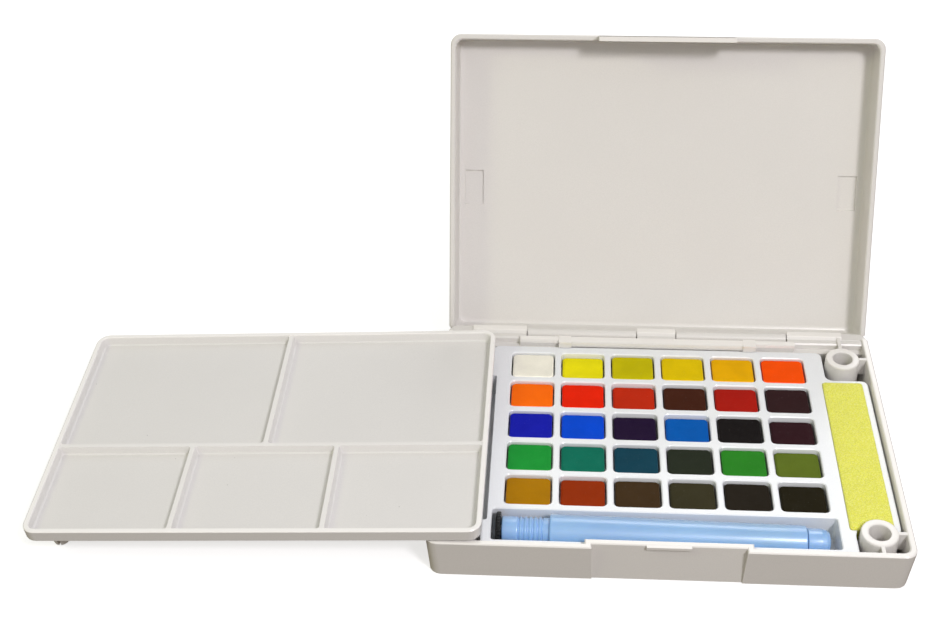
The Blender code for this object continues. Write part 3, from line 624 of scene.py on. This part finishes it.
def cake_mesh(name, low, high, seed):
    """A pressed cake: drafted sides, a soft shoulder, and a top with slight hollows."""
    mid = (low + high) / 2
    half_x, half_y = (high.x - low.x) / 2 - CAKE_SHRINK, (high.y - low.y) / 2 - CAKE_SHRINK
    tall = high.z - low.z

    def ring(inset, z):
        """One level: a rectangle with round corners, its sides finely divided."""
        x, y = half_x - inset, half_y - inset
        radius = max(CAKE_CORNER - CAKE_CORNER_FALL * inset, CAKE_LEAST_CORNER)
        outline = []
        for sx, sy, start in ((1, 1, 0), (-1, 1, 90), (-1, -1, 180), (1, -1, 270)):
            for step in range(CORNER_STEPS + 1):
                angle = math.radians(start + CORNER_STEP * step)
                corner_x = sx * (x - radius) + radius * math.cos(angle)
                corner_y = sy * (y - radius) + radius * math.sin(angle)
                outline.append((corner_x, corner_y))
        points = []
        for i, (ax, ay) in enumerate(outline):
            bx, by = outline[(i + 1) % len(outline)]
            on_side = i % (CORNER_STEPS + 1) == CORNER_STEPS
            pieces = SIDE_PIECES if on_side else 1
            for k in range(pieces):
                t = k / pieces
                points.append(Vector((ax + (bx - ax) * t, ay + (by - ay) * t, z)))
        return points

    levels = [(inset, part * tall) for inset, part in CAKE_FOOT] + [(0.0, tall - CAKE_SHOULDER)]
    for step in range(1, CORNER_STEPS + 1):
        angle = math.radians(CORNER_STEP * step)
        inset = CAKE_SHOULDER * (1 - math.cos(angle))
        levels.append((inset, tall - CAKE_SHOULDER * (1 - math.sin(angle))))
    levels += [(inset, tall) for inset in CAKE_TOP]
    verts = []
    for inset, z in levels:
        verts += ring(inset, z)
    count = len(verts) // len(levels)
    for v in verts:
        top = max(0.0, 2 * v.z / tall - 1)
        where = Vector((v.x, v.y, 0.0)) + seed * HOLLOW_STEP
        v.z += HOLLOW_DEPTH * top * (noise.noise(where / HOLLOW_SIZE) - HOLLOW_LEVEL)
        side = Vector((seed * WARP_STEP, v.x / WARP_SIZE, v.y / WARP_SIZE))
        push = 1 - WARP * (noise.noise(side) + WARP_LEVEL)
        v.x, v.y = v.x * push, v.y * push
    faces = []
    for row in range(len(levels) - 1):
        for k in range(count):
            after = (k + 1) % count
            a, b = row * count, (row + 1) * count
            faces.append((a + k, a + after, b + after, b + k))
    faces.append(tuple(range(count))[::-1])
    last = (len(levels) - 1) * count
    faces.append(tuple(last + k for k in range(count)))
    placed = [Vector((mid.x, mid.y, low.z)) + v for v in verts]
    return mesh_of(name, placed, faces)


for index, (name, shade) in enumerate(CAKE_COLORS):
    row, column = divmod(index, CAKE_COLUMNS)
    node = f"cake_r{row + 1}_c{column + 1}_{name}"
    low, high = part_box(node)
    title = f"paint_cake_r{row + 1}_c{column + 1}"
    mesh = cake_mesh(title, low, high, index)
    material = paint_cake(f"pressed_{name}", linear(shade), index + 1, high.z)
    piece(title, mesh, "case", material, node)


# ---------------------------------------------------------------- sponge

SPONGE_LIP = 1.0 * MM
SPONGE_VOXEL = 0.42 * MM
SPONGE_SWELL = 0.42 * MM
SPONGE_SETTLE = 0.04 * MM
LUMPS = ((5 * MM, 0.08 * MM), (1.1 * MM, 0.07 * MM))  # size of each kind, and its height
PIT_SIZE = 0.62 * MM
PIT_DEPTH = 0.25 * MM
PIT_LEAST = 0.1
SWELL_POWER = 0.5  # makes the swell rise fast from the lip's lower end
SOFTEN_FACTOR = 0.5
SOFTEN_TIMES = 4


def sponge_mesh():
    """The pad, refined from its frame solid: open pores, and a rim that swells over its slot."""
    bm = bmesh.new()
    bm.from_mesh(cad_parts["sponge"].data)
    bmesh.ops.remove_doubles(bm, verts=bm.verts, dist=WELD)
    mesh = bpy.data.meshes.new("sponge_pad")
    bm.to_mesh(mesh)
    bm.free()
    obj = bpy.data.objects.new("sponge_draft", mesh)
    scene.collection.objects.link(obj)
    remesh = obj.modifiers.new("cells", "REMESH")
    remesh.mode = "VOXEL"
    remesh.voxel_size = SPONGE_VOXEL
    soften = obj.modifiers.new("soften", "SMOOTH")
    soften.factor = SOFTEN_FACTOR
    soften.iterations = SOFTEN_TIMES
    graph = bpy.context.evaluated_depsgraph_get()
    made = bpy.data.meshes.new_from_object(obj.evaluated_get(graph))
    bpy.data.objects.remove(obj)
    made.name = "sponge_pad"
    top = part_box("sponge")[1].z
    normals = [v.normal.copy() for v in made.vertices]
    for v, normal in zip(made.vertices, normals):
        p = v.co
        lump = sum(noise.noise(p / size) * height for size, height in LUMPS)
        pit = max(0.0, noise.noise(p / PIT_SIZE) - PIT_LEAST) * PIT_DEPTH
        proud = max(0.0, 1 - (top - p.z) / SPONGE_LIP) ** SWELL_POWER
        flat = Vector((normal.x, normal.y, 0)) * (SPONGE_SWELL * proud)
        v.co = p + normal * (lump - pit - SPONGE_SETTLE) + flat
    made.shade_smooth()
    return made


sponge = piece("sponge_pad", sponge_mesh(), "sponge", sponge_foam, "sponge")


# ---------------------------------------------------------------- water brush

BRUSH_CENTRE = Vector((0.0, -45.2, 9.8)) * MM
BRUSH_TURN = math.radians(-0.6)
brush_place = Matrix.Translation(BRUSH_CENTRE) @ Matrix.Rotation(BRUSH_TURN, 4, "Z")

# Outlines of the turned parts, as (radius, place along the brush) in millimetres.
BARREL = (
    (5.05, -38.6),
    (5.70, -38.6),
    (6.00, -38.2),
    (5.95, -20),
    (5.50, 20),
    (5.30, 44.8),
    (5.00, 45.2),
    (4.05, 45.2),
    (4.05, 40.5),
    (4.85, 39.5),
    (4.85, -26),
    (5.05, -26.4),
)
PLUG = (
    (0.4, 53.2),
    (2.0, 53.1),
    (3.4, 52.6),
    (4.1, 51.6),
    (4.45, 50.0),
    (4.45, 45.5),
    (3.75, 45.5),
    (3.75, 38),
    (2.8, 38),
    (2.8, 49.4),
    (2.2, 51.0),
    (0.4, 51.8),
)
GRIP_HEAD = ((2.1, -54.4), (4.4, -54.4), (4.75, -54.1), (4.75, -49.5), (4.7, -49.2))
GRIP_TAIL = ((4.6, -40.6), (4.6, -27), (2.1, -27))
RIB_START = -48.9
RIB_PITCH = 1.6
RIB_COUNT = 5
RIB_STEPS = 12
RIB_RADIUS = 4.58
RIB_HEIGHT = 0.30
COLLAR = (
    (2.1, -56.2),
    (4.8, -56.4),
    (5.6, -56.4),
    (6.15, -55.9),
    (6.15, -55.0),
    (6.0, -54.7),
    (2.1, -54.7),
)
COLLAR_SIDES = 224
KNURL_FROM = 5.4
KNURL_COUNT = 28
KNURL_DEPTH = 0.22


def grip_outline():
    """The grip's outline, with its ribs as one smooth wave."""
    points = list(GRIP_HEAD)
    for step in range(RIB_COUNT * RIB_STEPS + 1):
        turn = step / RIB_STEPS
        radius = RIB_RADIUS - RIB_HEIGHT * math.cos(2 * math.pi * turn)
        points.append((radius, RIB_START + RIB_PITCH * turn))
    return points + list(GRIP_TAIL)


def knurl(radius, angle):
    """Shallow grooves round the collar's rim."""
    if radius < KNURL_FROM:
        return radius
    return radius - KNURL_DEPTH * (0.5 + 0.5 * math.cos(KNURL_COUNT * angle)) ** 2


def brush_part(title, profile, corner, body, slot, material, closed=True, **turning):
    """A turned part of the brush, with corners of that radius in millimetres."""
    outline = rounded([(r, x, 0) for r, x in profile], corner, closed)
    mesh = lathe(title, [(p.x, p.y) for p in outline], brush_place, closed, **turning)
    piece(title, mesh, body, material, f"brush_{title}")


brush_part("barrel", BARREL, 0.25, "brush", "brush_blue", brush_blue)
brush_part("end_plug", PLUG, 0.3, "brush", "brush_blue", brush_blue, closed=False)
brush_part("grip", grip_outline(), 0.3, "brush_head", "brush_blue", brush_blue)
knurled = {"sides": COLLAR_SIDES, "wave": knurl}
brush_part("collar", COLLAR, 0.2, "brush_head", "collar_black", collar_black, **knurled)

# These three show as the frame has them, inside the grip and barrel.
for node, material in (
    ("brush_ferrule", ferrule_plastic),
    ("brush_bristles", bristle_white),
    ("brush_valve", valve_white),
):
    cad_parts[node].data.materials.clear()
    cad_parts[node].data.materials.append(material)


# ---------------------------------------------------------------- floor, light and camera

FLOOR_CLOUD = 60 * MM
FLOOR_RELIEF = 0.01 * MM
FLOOR_GREY = (0.56, 0.56, 0.56)
FLOOR_TINTS = (0.982, 1.018)
FLOOR_ROUGH = (0.7, 0.8)
FLOOR_GLOW = 0.68
FLOOR_RADII = (0.6, 1.6, 2.8)
SWEEP_RADIUS = 1.2
SWEEP_STEPS = 12
SWEEP_TOP = 4.0
SWEEP_SIDES = 96


def stage_set():
    """A pale table top that sweeps up all round into a plain pale wall."""
    g = Graph("pale_sweep")
    cloud = g.noise(FLOOR_CLOUD)
    g.finish(
        g.clouded(cloud, WIDE, FLOOR_GREY, FLOOR_TINTS),
        g.span(cloud, *WIDE, *FLOOR_ROUGH),
        g.bump(cloud, FLOOR_RELIEF),
        Specular_IOR_Level=0.0,
        Emission_Color=(1.0, 1.0, 1.0, 1.0),
        Emission_Strength=FLOOR_GLOW,
    )
    foot = FLOOR_RADII[-1]
    profile = [(radius, 0.0) for radius in FLOOR_RADII]
    for step in range(1, SWEEP_STEPS + 1):
        angle = math.pi / 2 * step / SWEEP_STEPS
        out, up = SWEEP_RADIUS * math.sin(angle), SWEEP_RADIUS * (1 - math.cos(angle))
        profile.append((foot + out, up))
    profile.append((foot + SWEEP_RADIUS, SWEEP_TOP))
    verts = [(0.0, 0.0, 0.0)]
    for radius, z in profile:
        for side in range(SWEEP_SIDES):
            angle = 2 * math.pi * side / SWEEP_SIDES
            verts.append((radius * math.cos(angle), radius * math.sin(angle), z))
    faces = [(0, 1 + side, 1 + (side + 1) % SWEEP_SIDES) for side in range(SWEEP_SIDES)]
    for row in range(len(profile) - 1):
        a, b = 1 + row * SWEEP_SIDES, 1 + (row + 1) * SWEEP_SIDES
        for side in range(SWEEP_SIDES):
            after = (side + 1) % SWEEP_SIDES
            faces.append((a + side, b + side, b + after, a + after))
    mesh = mesh_of("sweep", verts, faces)
    mesh.materials.append(g.material)
    obj = bpy.data.objects.new("sweep", mesh)
    scene.collection.objects.link(obj)
    obj.visible_diffuse = False
    obj.visible_glossy = False


SKY_FRONT = (0.64, 0.63, 0.61)
SKY_REAR = (0.29, 0.29, 0.30)
SKY_BELOW = (0.15, 0.115, 0.07)
FADE_REARWARD = (-0.7, 0.7)  # the rearward part of a direction, where front gives way to rear
FADE_UPWARD = (-0.2, 0.2)  # the upward part, where below gives way to above
AIM = (0, 0, 0.02)
# Each lamp's name, place, size, power in watts and colour.
LAMPS = (
    ("key", (0.42, -0.70, 0.90), (0.2, 0.2), 7.2, (1.0, 0.975, 1.02)),
    ("side", (-0.90, -0.32, 0.76), (0.22, 0.22), 1.9, (0.95, 1.0, 0.62)),
    ("rear_panel", (0.16, 0.97, 0.97), (0.55, 0.8), 4.6, (0.96, 0.98, 1.0)),
)


def area_light(name, place, size, power, color):
    """A rectangular lamp that points at the object."""
    lamp = bpy.data.lights.new(name, "AREA")
    lamp.shape = "RECTANGLE"
    lamp.size, lamp.size_y = size
    lamp.energy = power
    lamp.color = color
    obj = bpy.data.objects.new(name, lamp)
    scene.collection.objects.link(obj)
    obj.location = place
    obj.rotation_euler = (Vector(AIM) - Vector(place)).to_track_quat("-Z", "Y").to_euler()


def studio():
    """A key at the front right, a weak lamp on the left, a panel behind and a dome of fill."""
    world = bpy.data.worlds.new("studio")
    scene.world = world
    world.use_nodes = True
    tree = world.node_tree
    place = tree.nodes.new("ShaderNodeTexCoord").outputs["Generated"]
    axes = tree.nodes.new("ShaderNodeSeparateXYZ")
    tree.links.new(place, axes.inputs[0])

    def fade(source, low, high):
        """0 up to low and 1 from high, with a soft rise between."""
        made = tree.nodes.new("ShaderNodeMapRange")
        made.interpolation_type = "SMOOTHSTEP"
        made.inputs["From Min"].default_value = low
        made.inputs["From Max"].default_value = high
        tree.links.new(source, made.inputs["Value"])
        return made.outputs["Result"]

    above = mixed(tree, fade(axes.outputs["Y"], *FADE_REARWARD), SKY_FRONT, SKY_REAR)
    dome = mixed(tree, fade(axes.outputs["Z"], *FADE_UPWARD), SKY_BELOW, above)
    tree.links.new(dome, tree.nodes["Background"].inputs["Color"])
    for lamp in LAMPS:
        area_light(*lamp)
    scene.view_settings.view_transform = "Standard"


CAMERA_PLACE = (-0.03769, -0.38634, 0.36768)
CAMERA_LOOK = (-0.05534, 0.78427, -0.61794)
CAMERA_YAW = math.radians(4.04)
CAMERA_ROLL = math.radians(-1.21)
SENSOR_WIDTH = 36
FOCAL_LENGTH = 56.02
CLIP = (0.01, 50)


def camera():
    """In front of the set and above it, a little to the left and rolled by a degree."""
    forward = Vector(CAMERA_LOOK).normalized()
    right = Vector((math.cos(CAMERA_YAW), math.sin(CAMERA_YAW), 0))
    up = right.cross(forward)
    across = right * math.cos(CAMERA_ROLL) + up * math.sin(CAMERA_ROLL)
    above = up * math.cos(CAMERA_ROLL) - right * math.sin(CAMERA_ROLL)
    lens = bpy.data.cameras.new("camera")
    lens.sensor_width = SENSOR_WIDTH
    lens.lens = FOCAL_LENGTH
    lens.clip_start, lens.clip_end = CLIP
    obj = bpy.data.objects.new("camera", lens)
    scene.collection.objects.link(obj)
    turn = Matrix((across, above, -forward)).transposed()
    obj.matrix_world = Matrix.Translation(CAMERA_PLACE) @ turn.to_4x4()
    scene.camera = obj


stage_set()
studio()
camera()

bpy.context.view_layer.update()
